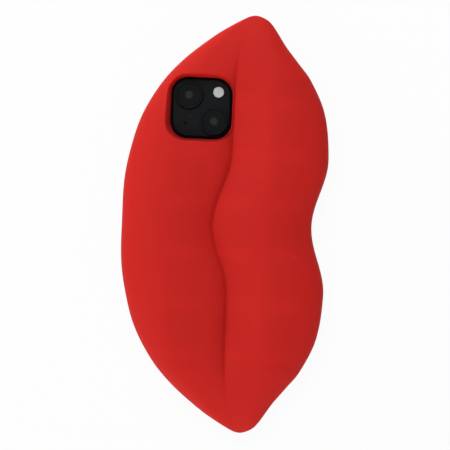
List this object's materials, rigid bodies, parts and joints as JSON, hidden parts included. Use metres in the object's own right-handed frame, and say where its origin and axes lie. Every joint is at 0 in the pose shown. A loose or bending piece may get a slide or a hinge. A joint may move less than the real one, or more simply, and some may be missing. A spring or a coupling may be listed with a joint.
{
  "type": "smartphone in a lips shaped silicone case",
  "caption": "Slab smartphone lying on its screen inside a thick soft silicone case shaped like a pair of closed lips, with a flared camera window.",
  "frame": {"origin": "under the middle of the lips' outline, in the plane of the case's flat front, on which it lies", "axes": "+Z away from the screen, out of the lips; +Y along the mouth line towards the phone cameras; +X from the lower lip to the upper lip"},
  "size_m": [0.1002, 0.2049, 0.0184],
  "materials": {
    "red_silicone": "soft matte silicone",
    "anodised_band": "fine bead-blasted anodised black",
    "antenna_plastic": "matte moulded plastic",
    "black_glass": "black coated glass with a polished plateau",
    "screen_glass": "black backed polished cover glass",
    "display_stack": "dark laminated film",
    "seal_foam": "black adhesive foam",
    "bare_steel": "brushed",
    "battery_foil": "black laminated pouch",
    "pull_tab": "white stretch adhesive",
    "flex_film": "amber polyimide film",
    "board_laminate": "solder masked laminate",
    "copper_wire": "enamelled copper winding",
    "magnet_nickel": "nickel plated",
    "camera_housing": "matte die cast",
    "lens_black": "black barrel with coated glass",
    "ring_metal": "satin anodised black",
    "sapphire": "clear coated lens cover",
    "flash_diffuser": "pale frosted lens over two emitters",
    "sensor_plastic": "black moulded",
    "gold_contact": "gold plated",
    "tungsten": "ground",
    "switch_orange": "orange marked lever",
    "gasket": "black elastomer"
  },
  "bodies": {
    "phone": {"frame": "anodised_band", "antenna_bands": "antenna_plastic", "back_glass": "black_glass", "display_glass": "screen_glass", "display_panel": "display_stack", "display_shield": "bare_steel", "display_seal": "seal_foam", "battery": "battery_foil", "battery_glue": "pull_tab", "battery_flex": "flex_film", "logic_board": "board_laminate", "board_shields": "bare_steel", "board_screws": "bare_steel", "charging_coil": "copper_wire", "magnet_ring": "magnet_nickel", "main_camera": "camera_housing", "main_lens_ring": "ring_metal", "main_lens_cover": "sapphire", "wide_camera": "camera_housing", "wide_lens": "lens_black", "wide_lens_ring": "ring_metal", "wide_lens_cover": "sapphire", "camera_bracket": "bare_steel", "flash_window": "flash_diffuser", "flash_board": "board_laminate", "rear_microphone": "sensor_plastic", "front_camera_array": "sensor_plastic", "earpiece": "sensor_plastic", "loudspeaker": "sensor_plastic", "speaker_mesh": "gasket", "bottom_microphone": "sensor_plastic", "haptic_case": "bare_steel", "haptic_springs": "bare_steel", "port_shell": "bare_steel", "port_contacts": "gold_contact", "port_flex": "flex_film", "port_screws": "bare_steel", "sim_tray": "anodised_band", "sim_card": "gold_contact", "sim_reader": "bare_steel", "ring_switch_base": "sensor_plastic", "button_seals": "gasket", "button_switches": "bare_steel", "button_brackets": "bare_steel"},
    "case": {"lip_case": "red_silicone", "screen_lip": "red_silicone"},
    "side_key": {"side_button": "anodised_band"},
    "volume_up_key": {"volume_up_button": "anodised_band"},
    "volume_down_key": {"volume_down_button": "anodised_band"},
    "ring_slider": {"ring_switch": "switch_orange"},
    "focus_lens": {"main_lens": "lens_black"},
    "haptic_weight": {"haptic_mass": "tungsten"}
  },
  "joints": [
    {"name": "case_lift", "type": "slide", "parent": "phone", "child": "case", "axis": [0, 0, 1], "range_m": [0, 0.04], "deforming": ["screen_lip"]},
    {"name": "side_press", "type": "slide", "parent": "phone", "child": "side_key", "axis": [1, 0, 0], "range_m": [0, 0.00035], "stiffness_N_per_m": 3000},
    {"name": "volume_up_press", "type": "slide", "parent": "phone", "child": "volume_up_key", "axis": [-1, 0, 0], "range_m": [0, 0.00035], "stiffness_N_per_m": 3000},
    {"name": "volume_down_press", "type": "slide", "parent": "phone", "child": "volume_down_key", "axis": [-1, 0, 0], "range_m": [0, 0.00035], "stiffness_N_per_m": 3000},
    {"name": "ring_slide", "type": "slide", "parent": "phone", "child": "ring_slider", "axis": [0, 0, 1], "range_m": [0, 0.0016]},
    {"name": "main_focus", "type": "slide", "parent": "phone", "child": "focus_lens", "axis": [0, 0, 1], "range_m": [0, 0.00025], "stiffness_N_per_m": 200},
    {"name": "haptic_shake", "type": "slide", "parent": "phone", "child": "haptic_weight", "axis": [1, 0, 0], "range_m": [-0.0004, 0.0004], "stiffness_N_per_m": 800, "deforming": ["haptic_springs"]}
  ]
}
